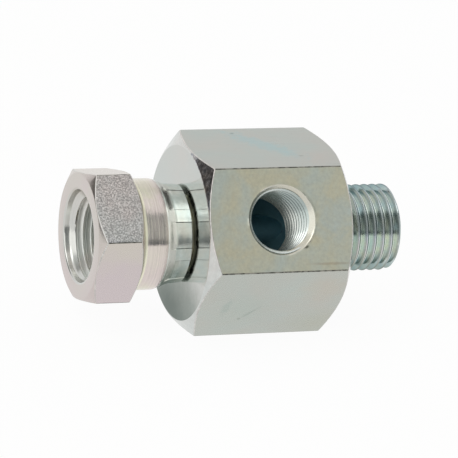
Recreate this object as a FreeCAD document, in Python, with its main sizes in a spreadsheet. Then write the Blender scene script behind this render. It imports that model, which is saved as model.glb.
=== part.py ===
import FreeCAD, Part
import Sketcher
import enum
import os

# Inline test point coupling for hydraulic pipework, in millimetres.
#
# One steel turning carries a hexagonal block, a male stud on the right, and on the left a coned
# nose with a thrust flange. A swivel nut is slid over the nose and its skirt is crimped behind
# the flange, so it turns freely and can't come off. A small O-ring sits in the nose's cone.
# A threaded gauge port is sunk in one flat of the block and meets the bore that runs through.
#
# The origin is the middle of the shoulder that the male stud leaves, with the run along X and the
# stud on +X. The block lies on one of its flats, and the gauge port looks to -Y, 30 degrees up.

doc = FreeCAD.newDocument("test_point_coupling")

# Driving sizes: alias, value, meaning
SIZES = [
    ("block_flats", 27.0, "block, across its flats"),
    ("block_length", 22.8, "block, face to face"),
    ("block_face", 26.5, "circle that the block's end chamfer leaves"),
    ("chamfer_angle", 30.0, "hexagon end chamfers, from the end face"),
    ("stud_thread", 13.157, "male G1/4 thread, major diameter"),
    ("stud_length", 10.8, "stud, from the shoulder to its end"),
    ("stud_lead_in", 0.35, "chamfer on the stud's end"),
    ("run_bore", 5.5, "bore through the whole part"),
    ("stud_seat", 9.0, "mouth of the coned seat in the stud's end"),
    ("seat_angle", 60.0, "cone of the stud's seat and of the nose, both sides together"),
    ("port_bore", 8.917, "gauge port M10x1, minor diameter"),
    ("port_mouth", 10.4, "gauge port, countersink diameter"),
    ("port_depth", 10.6, "gauge port, straight wall below the flat"),
    ("drill_point", 118.0, "point of the gauge port's drill"),
    ("port_turn", 60.0, "turn of the block that brings the port from the top to the front"),
    ("neck_diameter", 11.2, "spigot's neck behind the flange"),
    ("flange_diameter", 12.8, "thrust flange"),
    ("flange_width", 1.6, "thrust flange, straight part"),
    ("nose_base", 10.6, "nose cone, at the flange"),
    ("nose_tip", 7.2, "nose cone, at its tip"),
    ("ring_section", 1.2, "nose O-ring, thickness"),
    ("ring_bore", 7.1, "nose O-ring, inner diameter"),
    ("ring_setback", 0.8, "from the nose's tip to the O-ring's slot"),
    ("ring_side_play", 0.15, "O-ring's slot, room on each side of the ring"),
    ("ring_seat_gap", 0.02, "O-ring's slot, room under the ring"),
    ("nut_flats", 19.0, "swivel nut, across its flats"),
    ("nut_face", 18.8, "circle that the nut's end chamfer leaves"),
    ("nut_length", 15.35, "swivel nut, overall"),
    ("nut_hex_width", 7.1, "swivel nut, hexagon"),
    ("nut_turn", 17.5, "how far the nut happens to be turned the other way"),
    ("collar_diameter", 16.7, "swivel nut, collar"),
    ("collar_length", 3.6, "swivel nut, straight part of the collar"),
    ("collar_fillet", 0.4, "fillet between collar and hexagon"),
    ("bend_length", 2.7, "where the crimp bends the collar inward"),
    ("skirt_diameter", 15.3, "crimped skirt"),
    ("die_flats", 14.9, "crimped skirt, across the marks of two opposite dies"),
    ("die_count", 8, "dies of the crimping tool"),
    ("nut_thread", 11.445, "female G1/4 thread, minor diameter"),
    ("nut_mouth", 13.8, "swivel nut, countersink diameter"),
    ("nut_thread_depth", 6.5, "from the nut's face to the end of its thread"),
    ("lip_length", 3.2, "bore of the crimped lip"),
    ("nut_gap", 0.45, "between the skirt and the block"),
    ("nut_play", 0.3, "how far the nut slides between flange and lip"),
    ("lip_clearance", 0.2, "between lip and neck"),
    ("flange_clearance", 0.2, "between flange and nut"),
]

sheet = doc.addObject("Spreadsheet::Sheet", "sizes")
for row, (alias, value, meaning) in enumerate(SIZES, start=1):
    sheet.set(f"A{row}", meaning)
    sheet.set(f"B{row}", str(value))
    sheet.setAlias(f"B{row}", alias)
doc.recompute()

ALIASES = {alias for alias, value, meaning in SIZES}


def bound(formula):
    """Return a formula in which every size's alias is read from the sheet."""
    words = []
    word = ""
    for letter in formula + " ":
        if letter.isalnum() or letter == "_":
            word += letter
            continue
        words.append(f"sizes.{word}" if word in ALIASES else word)
        words.append(letter)
        word = ""
    return "".join(words).strip()


def size(alias):
    """Return one driving size from the sheet."""
    return float(getattr(sheet, alias))


# Two lengths closer than this are the same
TOUCH = 1e-6

# Sides of a hexagon
SIDES = 6


class Spot(enum.IntEnum):
    """Points of a sketch's lines and circles, and the sketch's axes, which start at its origin."""

    START = 1
    END = 2
    CENTRE = 3
    LEVEL_AXIS = -1
    UPRIGHT_AXIS = -2



# Formulas that more than one feature needs, worked out from the driving sizes

HALF_SEAT = "(seat_angle * 1 deg / 2)"
RELIEF_BORE = "(flange_diameter / 2 + flange_clearance)"
LIP_BORE = "(neck_diameter / 2 + lip_clearance)"
NECK_END = "(block_length + nut_gap + lip_length - lip_clearance + nut_play)"
FLANGE_BACK = f"({NECK_END} + (flange_diameter - neck_diameter) / 2)"
FLANGE_FRONT = f"({FLANGE_BACK} + flange_width)"
NOSE_END = f"({FLANGE_FRONT} + (nose_base - nose_tip) / 2 / tan({HALF_SEAT}))"
SLOT_FRONT = f"({NOSE_END} - ring_setback)"
SLOT_BACK = f"({SLOT_FRONT} - ring_section - 2 * ring_side_play)"
BEND_START = "(nut_hex_width + collar_length)"
BEND_END = f"({BEND_START} + bend_length)"


def new_body(label):
    """Start one sub-part."""
    body = doc.addObject("PartDesign::Body", label)
    body.Label = label
    return body


def origin_plane(body, role):
    """Find one of a body's own origin planes or axes."""
    for feature in body.Origin.OriginFeatures:
        if feature.Role == role:
            return feature
    raise ValueError(f"{body.Label} has no {role}")


def new_sketch(body, name, role, lift=None):
    """Start a sketch on an origin plane, lifted off it by a formula where one is given."""
    sketch = body.newObject("Sketcher::SketchObject", name)
    sketch.AttachmentSupport = [(origin_plane(body, role), "")]
    sketch.MapMode = "FlatFace"
    if lift is not None:
        sketch.setExpression("AttachmentOffset.Base.z", bound(lift))
    return sketch


def hold(sketch, *terms):
    """Add one constraint to a sketch and return its number."""
    return sketch.addConstraint(Sketcher.Constraint(*terms))


def fix_coordinate(sketch, kind, line, formula, point=Spot.START):
    """Hold a point of a line or circle at a coordinate, which a minus puts on the far side."""
    axis = Spot.UPRIGHT_AXIS if kind == "DistanceX" else Spot.LEVEL_AXIS
    if formula == "0":
        hold(sketch, "PointOnObject", line, point, axis)
        return
    name = f"{kind[-1].lower()}_{line}"
    ends = [(Spot.LEVEL_AXIS, Spot.START), (line, point)]
    if formula.startswith("-"):
        ends.reverse()
    number = hold(sketch, kind, *ends[0], *ends[1], abs(value_of(formula)))
    sketch.renameConstraint(number, name)
    sketch.setExpression(f"Constraints.{name}", bound(formula.lstrip("-")))


def value_of(formula):
    """Work a formula out from the sheet's present sizes."""
    return float(sheet.evalExpression(bound(formula)))


def closed_profile(sketch, corners):
    """Draw a closed outline through corners, each a pair of formulas."""
    points = [FreeCAD.Vector(value_of(across), value_of(up), 0) for across, up in corners]
    first = sketch.GeometryCount
    count = len(points)
    for index in range(count):
        sketch.addGeometry(Part.LineSegment(points[index], points[(index + 1) % count]), False)
    for index in range(count):
        after = first + (index + 1) % count
        hold(sketch, "Coincident", first + index, Spot.END, after, Spot.START)
    for index, (across, up) in enumerate(corners):
        fix_coordinate(sketch, "DistanceX", first + index, across)
        fix_coordinate(sketch, "DistanceY", first + index, up)


def turned(body, kind, name, outlines):
    """Add or cut a ring turned about the run, from outlines of X and radius."""
    sketch = new_sketch(body, f"{name}_outline", "XZ_Plane")
    for corners in outlines:
        closed_profile(sketch, corners)
    feature = body.newObject(f"PartDesign::{kind}", name)
    feature.Profile = sketch
    feature.ReferenceAxis = (sketch, ["H_Axis"])
    feature.Angle = 360.0
    doc.recompute()
    return feature


def hexagon_bar(body, name, across_flats, length, backwards):
    """Pad a hexagon with flats at the top and bottom along the run."""
    sketch = new_sketch(body, f"{name}_outline", "YZ_Plane")
    middle = FreeCAD.Vector(0, 0, 0)
    upright = FreeCAD.Vector(0, 0, 1)
    corner_radius = size(across_flats) / 3 ** 0.5
    turn = FreeCAD.Rotation(upright, 360 / SIDES)
    corners = [FreeCAD.Vector(corner_radius, 0, 0)]
    while len(corners) < SIDES:
        corners.append(turn.multVec(corners[-1]))
    for index in range(SIDES):
        sketch.addGeometry(Part.LineSegment(corners[index], corners[(index + 1) % SIDES]), False)
    circle = sketch.addGeometry(Part.Circle(middle, upright, corner_radius), True)
    hold(sketch, "Coincident", circle, Spot.CENTRE, Spot.LEVEL_AXIS, Spot.START)
    for index in range(SIDES):
        after = (index + 1) % SIDES
        hold(sketch, "Coincident", index, Spot.END, after, Spot.START)
        hold(sketch, "PointOnObject", index, Spot.START, circle)
    for index in range(1, SIDES):
        hold(sketch, "Equal", 0, index)
    hold(sketch, "PointOnObject", 0, Spot.START, Spot.LEVEL_AXIS)
    number = hold(sketch, "DistanceY", Spot.LEVEL_AXIS, Spot.START, 1, Spot.START,
                  size(across_flats) / 2)
    sketch.renameConstraint(number, "half_flats")
    sketch.setExpression("Constraints.half_flats", bound(f"{across_flats} / 2"))
    bar = body.newObject("PartDesign::Pad", name)
    bar.Profile = sketch
    bar.setExpression("Length", bound(length))
    bar.Reversed = backwards
    doc.recompute()


def corner_chamfers(body, name, across_flats, face_circle, side, far_end):
    """Turn the corners of a hexagon down to a circle at the origin and at its far end."""
    face = f"{face_circle} / 2"
    outside = f"{across_flats} * 0.6"
    depth = f"({outside} - {face}) * tan(chamfer_angle * 1 deg)"
    turned(body, "Groove", name, [
        [("0", face), ("0", outside), (f"{side}({depth})", outside)],
        [(f"{side}{far_end}", face), (f"{side}{far_end}", outside),
         (f"{side}({far_end} - {depth})", outside)],
    ])


def round_edges(feature, radius, place):
    """Name the round edges of a feature that have this radius and lie at this X."""
    names = []
    for number, edge in enumerate(feature.Shape.Edges, start=1):
        if not isinstance(edge.Curve, Part.Circle):
            continue
        if abs(edge.Curve.Radius - radius) < TOUCH and abs(edge.Curve.Center.x - place) < TOUCH:
            names.append(f"Edge{number}")
    return names


def centred_circle(sketch, across, up, radius):
    """Draw a circle whose centre and radius are formulas, as a hole or a ring's section."""
    centre = FreeCAD.Vector(value_of(across), value_of(up), 0)
    circle = sketch.addGeometry(Part.Circle(centre, FreeCAD.Vector(0, 0, 1), value_of(radius)), False)
    fix_coordinate(sketch, "DistanceX", circle, across, Spot.CENTRE)
    fix_coordinate(sketch, "DistanceY", circle, up, Spot.CENTRE)
    number = hold(sketch, "Radius", circle, value_of(radius))
    sketch.renameConstraint(number, "radius")
    sketch.setExpression("Constraints.radius", bound(radius))
    doc.recompute()


def turn_about_run(body, sense, alias):
    """Turn a sub-part about the run, forwards or backwards, by one of the driving sizes."""
    axis = FreeCAD.Vector(sense, 0, 0)
    body.Placement = FreeCAD.Placement(FreeCAD.Vector(0, 0, 0), FreeCAD.Rotation(axis, size(alias)))
    body.setExpression("Placement.Rotation.Angle", bound(f"{alias} * 1 deg"))


def make_body():
    """Turn the hexagonal block, its male stud and the coned spigot from one bar."""
    body = new_body("body")
    hexagon_bar(body, "block", "block_flats", "block_length", True)
    corner_chamfers(body, "block_chamfers", "block_flats", "block_face", "-", "block_length")
    turned(body, "Revolution", "stud", [[
        ("0", "0"),
        ("stud_length", "0"),
        ("stud_length", "stud_thread / 2 - stud_lead_in"),
        ("stud_length - stud_lead_in", "stud_thread / 2"),
        ("0", "stud_thread / 2"),
    ]])
    turned(body, "Revolution", "spigot", [[
        ("-block_length", "0"),
        ("-block_length", "neck_diameter / 2"),
        (f"-{NECK_END}", "neck_diameter / 2"),
        (f"-{FLANGE_BACK}", "flange_diameter / 2"),
        (f"-{FLANGE_FRONT}", "flange_diameter / 2"),
        (f"-{FLANGE_FRONT}", "nose_base / 2"),
        (f"-{NOSE_END}", "nose_tip / 2"),
        (f"-{NOSE_END}", "0"),
    ]])
    turned(body, "Groove", "ring_slot", [[
        (f"-{SLOT_FRONT}", "ring_bore / 2 - ring_seat_gap"),
        (f"-{SLOT_BACK}", "ring_bore / 2 - ring_seat_gap"),
        (f"-{SLOT_BACK}", "nose_base / 2"),
        (f"-{SLOT_FRONT}", "nose_base / 2"),
    ]])
    turned(body, "Groove", "run_bore_and_seat", [[
        (f"-{NOSE_END}", "0"),
        (f"-{NOSE_END}", "run_bore / 2"),
        (f"stud_length - (stud_seat - run_bore) / 2 / tan({HALF_SEAT})", "run_bore / 2"),
        ("stud_length", "stud_seat / 2"),
        ("stud_length", "0"),
    ]])
    gauge_port(body)
    turn_about_run(body, 1, "port_turn")
    return body


def gauge_port(body):
    """Drill the gauge port into the block's top flat, halfway along it, down to the run's bore."""
    sketch = new_sketch(body, "gauge_port_centre", "XY_Plane", "block_flats / 2")
    centred_circle(sketch, "-(block_length / 2)", "0", "port_bore / 2")
    port = body.newObject("PartDesign::Hole", "gauge_port")
    port.Profile = sketch
    doc.recompute()
    port.Threaded = False
    port.DepthType = "Dimension"
    port.DrillPoint = "Angled"
    port.HoleCutType = "Countersink"
    port.HoleCutCountersinkAngle = 90.0
    port.setExpression("Diameter", bound("port_bore"))
    port.setExpression("Depth", bound("port_depth"))
    port.setExpression("DrillPointAngle", bound("drill_point * 1 deg"))
    port.setExpression("HoleCutDiameter", bound("port_mouth"))
    doc.recompute()


def make_swivel_nut():
    """Turn the nut from hexagon bar, bore it, and crimp its skirt, drawn from its threaded face."""
    nut = new_body("swivel_nut")
    hexagon_bar(nut, "nut_hexagon", "nut_flats", "nut_hex_width", False)
    corner_chamfers(nut, "nut_chamfers", "nut_flats", "nut_face", "", "nut_hex_width")
    collar = turned(nut, "Revolution", "collar", [[
        ("nut_hex_width / 2", "0"),
        ("nut_hex_width / 2", "collar_diameter / 2"),
        (BEND_START, "collar_diameter / 2"),
        (BEND_END, "skirt_diameter / 2"),
        ("nut_length", "skirt_diameter / 2"),
        ("nut_length", "0"),
    ]])
    fillet = nut.newObject("PartDesign::Fillet", "collar_root")
    fillet.Base = (collar, round_edges(collar, size("collar_diameter") / 2, size("nut_hex_width")))
    fillet.setExpression("Radius", bound("collar_fillet"))
    doc.recompute()
    turned(nut, "Groove", "nut_bore", [[
        ("0", "0"),
        ("0", "nut_mouth / 2"),
        ("(nut_mouth - nut_thread) / 2", "nut_thread / 2"),
        ("nut_thread_depth", "nut_thread / 2"),
        ("nut_thread_depth", RELIEF_BORE),
        (f"nut_length - lip_length - ({RELIEF_BORE} - {LIP_BORE})", RELIEF_BORE),
        ("nut_length - lip_length", LIP_BORE),
        ("nut_length", LIP_BORE),
        ("nut_length", "0"),
    ]])
    crimp(nut)
    turn_about_run(nut, -1, "nut_turn")
    nut.setExpression("Placement.Base.x", bound("-(block_length + nut_gap + nut_length)"))
    return nut


def crimp(nut):
    """Flatten the skirt where each die of the crimping tool pressed it."""
    sketch = new_sketch(nut, "die_mark_outline", "XY_Plane", "die_flats / 2")
    closed_profile(sketch, [
        (BEND_END, "skirt_diameter / 4"),
        (BEND_END, "-skirt_diameter / 4"),
        ("nut_length", "-skirt_diameter / 4"),
        ("nut_length", "skirt_diameter / 4"),
    ])
    die_mark = nut.newObject("PartDesign::Pocket", "die_mark")
    die_mark.Profile = sketch
    die_mark.Reversed = True
    die_mark.setExpression("Length", bound("skirt_diameter / 2"))
    doc.recompute()
    die_marks = nut.newObject("PartDesign::PolarPattern", "die_marks")
    die_marks.Originals = [die_mark]
    die_marks.Axis = (origin_plane(nut, "X_Axis"), [""])
    die_marks.Angle = 360.0
    die_marks.setExpression("Occurrences", bound("die_count"))
    nut.Tip = die_marks
    doc.recompute()


def make_nose_o_ring():
    """Turn the O-ring that lies in the slot of the nose's cone."""
    ring = new_body("nose_o_ring")
    sketch = new_sketch(ring, "ring_section_outline", "XZ_Plane")
    centred_circle(sketch, f"-(({SLOT_FRONT} + {SLOT_BACK}) / 2)", "(ring_bore + ring_section) / 2",
                   "ring_section / 2")
    feature = ring.newObject("PartDesign::Revolution", "ring")
    feature.Profile = sketch
    feature.ReferenceAxis = (sketch, ["H_Axis"])
    feature.Angle = 360.0
    doc.recompute()
    return ring


def check_features():
    """Stop if any object of the document failed to build."""
    for thing in doc.Objects:
        faults = {"Invalid", "Error"} & set(thing.State)
        if faults:
            raise RuntimeError(f"{thing.Label} is {', '.join(sorted(faults))}")


def write_solid(sub_part):
    """Write one sub-part's solid, if it is a sound one, under the sub-part's own name."""
    shape = sub_part.Shape
    if shape.isNull() or not shape.isValid() or len(shape.Solids) != 1:
        raise RuntimeError(f"{sub_part.Label} is not one sound solid")
    shape.exportStep(f"parts/{sub_part.Label}.step")
    print(sub_part.Label, round(shape.Volume, 1), shape.BoundBox)


sub_parts = [make_body(), make_swivel_nut(), make_nose_o_ring()]
doc.recompute()
check_features()
os.makedirs("parts", exist_ok=True)
for sub_part in sub_parts:
    write_solid(sub_part)
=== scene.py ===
"""Looks of an inline test point coupling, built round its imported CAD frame.

The coupling is a zinc-plated hexagonal block with a male stud, an open gauge port and a crimped
swivel nut. Lengths are in millimetres until a mesh is finished, and in metres after that. The run
lies along X, and an angle about it is counted from the side that faces the camera up to the top.
"""

import sys

import enum
import logging
import math
from dataclasses import dataclass, field
from typing import Callable, Iterable, Sequence

import bmesh
import bpy
from mathutils import Matrix, Vector, noise


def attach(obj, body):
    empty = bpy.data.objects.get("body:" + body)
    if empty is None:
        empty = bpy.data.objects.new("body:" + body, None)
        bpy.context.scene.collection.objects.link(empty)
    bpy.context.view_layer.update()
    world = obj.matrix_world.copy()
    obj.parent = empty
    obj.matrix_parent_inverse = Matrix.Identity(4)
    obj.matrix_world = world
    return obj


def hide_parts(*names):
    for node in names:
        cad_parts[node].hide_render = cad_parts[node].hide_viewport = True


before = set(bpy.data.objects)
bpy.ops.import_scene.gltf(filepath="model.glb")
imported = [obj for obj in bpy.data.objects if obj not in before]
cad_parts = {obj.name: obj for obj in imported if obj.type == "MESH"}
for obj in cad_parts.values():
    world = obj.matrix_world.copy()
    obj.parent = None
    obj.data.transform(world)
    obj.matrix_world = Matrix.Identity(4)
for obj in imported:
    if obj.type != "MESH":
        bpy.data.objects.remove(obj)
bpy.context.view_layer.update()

LOG = logging.getLogger("coupling")
METRES = 0.001
WELD = 1e-4
CREASE = math.radians(38.0)
FULL_TURN = 360.0
FLAT_PITCH = FULL_TURN / 6
COLUMNS = 180
PIPE_PITCH = 1.337
PIPE_MAJOR = 6.5785
PIPE_MINOR = 5.7225
WHITE = (1.0, 1.0, 1.0, 1.0)


class Surface(enum.IntEnum):
    """The finishes of the two steel pieces, in the order of their material slots."""

    DRAWN_FLAT = 0
    PORT_FLAT = 1
    TURNED_FACE = 2
    CHAMFER = 3
    CORNER = 4
    STUD = 5
    PORT = 6
    BORE = 7
    NUT_FACE = 8
    NUT_FLAT = 9
    SCALED_FLAT = 10
    COLLAR = 11
    SKIRT = 12
    NUT_THREAD = 13
    ROOT = 14
    ARC_EDGE = 15
    DULL_CHAMFER = 16
    HANDLED_FLAT = 17
    BEND = 18
    DIE_MARK = 19
    NUT_MOUTH = 20
    PORT_MOUTH = 21
    STUD_ROOT = 22
    RUN = 23


class Wall(enum.Enum):
    """Which side of a thread its metal is on."""

    MALE = "male"
    FEMALE = "female"


Triple = tuple[float, float, float]
Row = list[bmesh.types.BMVert]
# A station gives the X and the radius of a turned shape in one direction about the run.
Station = Callable[[float], tuple[float, float]]
# A rule is one finish, or it names the finish of the face after a point of a row.
Rule = Surface | Callable[[int], Surface | None]


def around(x: float, radius: float, angle: float) -> Vector:
    """Place a point by its X, its distance from the run and its angle about it."""
    turn = math.radians(angle)
    return Vector((x, -radius * math.cos(turn), radius * math.sin(turn)))


def rings(*places: tuple[float, float]) -> list[Station]:
    """Make stations that are plain circles, from the X and the radius of each."""
    return [lambda angle, place=place: place for place in places]


def between(first: Station, second: Station, share: float) -> Station:
    """Make a station that lies part of the way from one station to another.

    Args:
        first: Station that a share of 0 gives.
        second: Station that a share of 1 gives.
        share: How much of the way it lies along.

    Returns:
        The station between them.
    """
    def place(angle: float) -> tuple[float, float]:
        """Give the X and the radius in one direction."""
        start, end = first(angle), second(angle)
        return start[0] + (end[0] - start[0]) * share, start[1] + (end[1] - start[1]) * share
    return place


def placed(name: str, data: bpy.types.ID) -> bpy.types.Object:
    """Make an object and put it in the scene.

    Args:
        name: The object's name.
        data: Its mesh, camera or lamp.

    Returns:
        The object.
    """
    made = bpy.data.objects.new(name, data)
    bpy.context.scene.collection.objects.link(made)
    return made


def eased(value: float, start: float, end: float) -> float:
    """Rise smoothly from 0 at start to 1 at end."""
    share = min(1.0, max(0.0, (value - start) / (end - start)))
    return share * share * (3.0 - 2.0 * share)


def off_centre(angle: float, centre: float, period: float = FULL_TURN) -> float:
    """Give the angle to the nearest of a set of evenly spaced directions."""
    return (angle - centre + period / 2.0) % period - period / 2.0


def evenly(count: int) -> list[float]:
    """List as many evenly spaced angles, from 0 on."""
    return [FULL_TURN * index / count for index in range(count)]


def columns(marks: Sequence[float], reach: float) -> list[float]:
    """List the angles at which every row of a turned skin has a point.

    Args:
        marks: Angles that need a crisp line.
        reach: Half the width of such a line, in degrees.

    Returns:
        The angles in rising order, with three at each mark.
    """
    crisp = [(mark + shift) % FULL_TURN for mark in marks for shift in (-reach, 0.0, reach)]
    apart = 0.45 * FULL_TURN / COLUMNS + reach
    free = [
        angle for angle in evenly(COLUMNS)
        if all(abs(off_centre(angle, mark)) > apart for mark in marks)
    ]
    return sorted({round(angle, 6) for angle in crisp + free})


@dataclass(frozen=True)
class Hexagon:
    """The outside of a hexagonal bar whose ends are turned to a cone."""

    across_flats: float
    face_circle: float
    corner_radius: float
    first_flat: float
    cone: float = math.tan(math.radians(30.0))
    edge: float = 0.11

    def radius(self, angle: float) -> float:
        """Give the bar's distance from the run, with its corners just broken."""
        lean = off_centre(angle, self.first_flat, FLAT_PITCH)
        return min(self.across_flats / 2.0 / math.cos(math.radians(lean)), self.corner_radius)

    def corners(self) -> list[float]:
        """List the directions of the six corners."""
        return [(self.first_flat + FLAT_PITCH * (index + 0.5)) % FULL_TURN for index in range(6)]

    def end(self, face: float, inward: float) -> list[Station]:
        """Make the stations of one turned end, from its face out to the flats.

        Args:
            face: X of the end face.
            inward: 1 where the bar lies on the side of +X, and -1 where it lies on -X.

        Returns:
            Four stations round the face's edge, and four where the cone meets the flats.
        """
        slope = math.hypot(1.0, self.cone)
        run, rise = self.cone / slope, 1.0 / slope
        circle = self.face_circle / 2.0

        def rounded(share: float, outer: bool) -> Station:
            """Make one station of an edge that is rounded over.

            Args:
                share: How much of the way round the edge it lies.
                outer: True for the edge at the flats, and False for the edge at the face.

            Returns:
                The station.
            """
            def place(angle: float) -> tuple[float, float]:
                """Give the station's place in one direction.

                Args:
                    angle: Direction about the run.

                Returns:
                    The X and the radius.
                """
                far = self.radius(angle)
                depth = (far - circle) * self.cone
                edge = min(self.edge, 0.4 * (far - circle))
                knots = (
                    (depth - run * edge, far - rise * edge), (depth, far), (depth + edge, far)
                ) if outer else (
                    (0.0, circle - edge), (0.0, circle), (run * edge, circle + rise * edge)
                )
                weights = ((1.0 - share) ** 2, 2.0 * share * (1.0 - share), share ** 2)
                x, radius = (
                    sum(weight * knot[axis] for weight, knot in zip(weights, knots))
                    for axis in (0, 1)
                )
                return face + inward * x, radius
            return place

        shares = (0.0, 0.33, 0.67, 1.0)
        return [rounded(share, outer) for outer in (False, True) for share in shares]


@dataclass(frozen=True)
class Thread:
    """A right-hand parallel thread with rounded crests and roots."""

    pitch: float
    crest: float
    root: float
    crest_at: float
    wall: Wall
    profile: tuple[tuple[float, float], ...] = (
        (0.0, 0.0), (0.06, 0.03), (0.11, 0.13), (0.25, 0.48), (0.39, 0.87), (0.44, 0.97),
        (0.50, 1.0), (0.56, 0.97), (0.61, 0.87), (0.75, 0.48), (0.89, 0.13), (0.94, 0.03),
    )

    def crest_x(self, angle: float) -> float:
        """Give the place along the axis of a crest in one direction."""
        return self.crest_at - self.pitch * angle / FULL_TURN

    def radius(self, x: float, angle: float, envelope: Callable[[float], float]) -> float:
        """Give the thread's radius at a point, cut off by the turned shape that it is in.

        Args:
            x: Place along the axis.
            angle: Direction about it.
            envelope: Radius of the turned shape at a place.

        Returns:
            The radius, in millimetres.
        """
        share = ((x - self.crest_x(angle)) / self.pitch) % 1.0
        knots = self.profile + ((1.0, 0.0),)
        (low, first), (high, second) = next(
            (near, far) for near, far in zip(knots, knots[1:]) if near[0] <= share <= far[0]
        )
        sunk = first + (second - first) * (share - low) / (high - low)
        limit = min if self.wall is Wall.MALE else max
        return limit(self.crest + (self.root - self.crest) * sunk, envelope(x))


class Skin:
    """A mesh that is drawn row by row in millimetres, whose faces know their finish."""

    def __init__(self) -> None:
        """Start with an empty mesh."""
        self.mesh = bmesh.new()

    def row(self, points: Iterable[Vector]) -> Row:
        """Add one closed row of points."""
        return [self.mesh.verts.new(point) for point in points]

    @staticmethod
    def paint(faces: Iterable[bmesh.types.BMFace], finish: Surface) -> None:
        """Give faces their finish, and shade them smooth.

        Args:
            faces: The faces.
            finish: Their finish.
        """
        for face in faces:
            face.material_index = int(finish)
            face.smooth = True

    def face(self, corners: Sequence[bmesh.types.BMVert], finish: Surface) -> None:
        """Add one face with a finish."""
        self.paint([self.mesh.faces.new(corners)], finish)

    def band(self, first: Row, second: Row, finish: Rule) -> Row:
        """Join two rows of as many points with faces.

        Args:
            first: One row.
            second: The next row.
            finish: The finish, or what gives it for the face after a point. It gives None to
                leave that face open.

        Returns:
            The second row.
        """
        count = len(first)
        for index in range(count):
            after = (index + 1) % count
            kind = finish(index) if callable(finish) else finish
            if kind is not None:
                self.face((first[index], first[after], second[after], second[index]), kind)
        return second

    def loop_edges(self, *loops: Row) -> list[bmesh.types.BMEdge]:
        """Give the edges of closed loops of points, and add those that aren't there yet.

        Args:
            loops: The loops.

        Returns:
            The edges, loop by loop.
        """
        return [
            self.mesh.edges.get(ends) or self.mesh.edges.new(ends)
            for loop in loops for ends in zip(loop, loop[1:] + loop[:1])
        ]

    def screw(self, thread: Thread, angles: Sequence[float], start: float, end: float,
              envelope: Callable[[float], float], place: Callable[[float, float, float], Vector],
              finish: Callable[[float, float], Surface]) -> tuple[Row, Row]:
        """Draw a thread along its own helix, so that its crests are crisp.

        Args:
            thread: The thread.
            angles: Directions that have a point.
            start: Place along the axis where it begins.
            end: Place along the axis where it ends.
            envelope: Radius of the turned shape that cuts it off.
            place: Gives the point at a place, radius and direction.
            finish: Gives the finish of a face by its place along the axis and its radius.

        Returns:
            The first and last row, which are plain rings for their neighbours to join.
        """
        per_turn = len(thread.profile)
        first_turn = math.floor((start - thread.crest_at) / thread.pitch) - 1
        turns = math.ceil((end - thread.crest_at) / thread.pitch) + 2 - first_turn
        rows: list[Row] = []
        kinds: list[list[Surface]] = []
        for turn in range(turns):
            for share, _ in thread.profile:
                offset = (first_turn + turn + share) * thread.pitch
                xs = [min(end, max(start, thread.crest_x(angle) + offset)) for angle in angles]
                radii = [thread.radius(x, angle, envelope) for x, angle in zip(xs, angles)]
                rows.append(self.row(map(place, xs, radii, angles)))
                kinds.append(list(map(finish, xs, radii)))
        last = len(angles) - 1
        for index, (near, far) in enumerate(zip(rows, rows[1:])):
            for column in range(last):
                self.face((near[column], near[column + 1], far[column + 1], far[column]),
                          kinds[index][column])
            # The last column meets the first one where the helix is one turn further back.
            if index >= per_turn:
                low = index - per_turn
                self.face((near[last], rows[low][0], rows[low + 1][0], far[last]),
                          kinds[index][last])
        return rows[0], rows[-1]

    def finished(self, name: str, finishes: Sequence[bpy.types.Material]) -> bpy.types.Object:
        """Weld the rows, face every face outward and make the object.

        Args:
            name: Name of the piece.
            finishes: Materials in the order of the surfaces.

        Returns:
            The piece, in metres.
        """
        bmesh.ops.remove_doubles(self.mesh, verts=self.mesh.verts, dist=WELD)
        bmesh.ops.dissolve_degenerate(self.mesh, edges=self.mesh.edges, dist=WELD)
        bmesh.ops.recalc_face_normals(self.mesh, faces=self.mesh.faces)
        loose = sum(not edge.is_manifold for edge in self.mesh.edges)
        LOG.info("%s: %d faces, %d open edges", name, len(self.mesh.faces), loose)
        bmesh.ops.scale(self.mesh, vec=Vector((METRES,) * 3), verts=self.mesh.verts)
        data = bpy.data.meshes.new(name)
        self.mesh.to_mesh(data)
        self.mesh.free()
        data.set_sharp_from_angle(angle=CREASE)
        for material in finishes:
            data.materials.append(material)
        piece = placed(name, data)
        weighted = piece.modifiers.new("flat_shading", "WEIGHTED_NORMAL")
        weighted.keep_sharp = True
        return piece


@dataclass
class Turning:
    """A piece turned from hexagonal bar, drawn as one skin from ring to ring.

    Its sizes, and its places along the run, are in millimetres. Its angles are in degrees.
    """

    finishes: Sequence[bpy.types.Material]
    bar: Hexagon
    edge_reach: float
    skin: Skin = field(default_factory=Skin)
    angles: list[float] = field(default_factory=list)

    def turned(self, station: Station) -> Row:
        """Add one row about the run."""
        return self.skin.row(around(*station(angle), angle) for angle in self.angles)

    def chain(self, start: Row, stations: Iterable[Station], finish: Rule) -> Row:
        """Join a row to further stations, one after another.

        Args:
            start: The row.
            stations: Where the further rows lie.
            finish: The finish, or what gives it for the face after a point.

        Returns:
            The last row.
        """
        for station in stations:
            start = self.skin.band(start, self.turned(station), finish)
        return start

    def middle(self, index: int) -> float:
        """Give the direction of the middle of the face after a point."""
        after = self.angles[(index + 1) % len(self.angles)]
        return self.angles[index] + ((after - self.angles[index]) % FULL_TURN) / 2.0

    def on_corner(self, index: int) -> bool:
        """Tell whether the face after a point is part of one of the bar's broken corners."""
        corner = self.bar.first_flat + FLAT_PITCH / 2.0
        return abs(off_centre(self.middle(index), corner, FLAT_PITCH)) < self.edge_reach

    def on_flat(self, index: int, flat: float) -> bool:
        """Tell whether the face after a point is part of the flat that looks one way."""
        return abs(off_centre(self.middle(index), flat)) < FLAT_PITCH / 2.0


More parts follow.
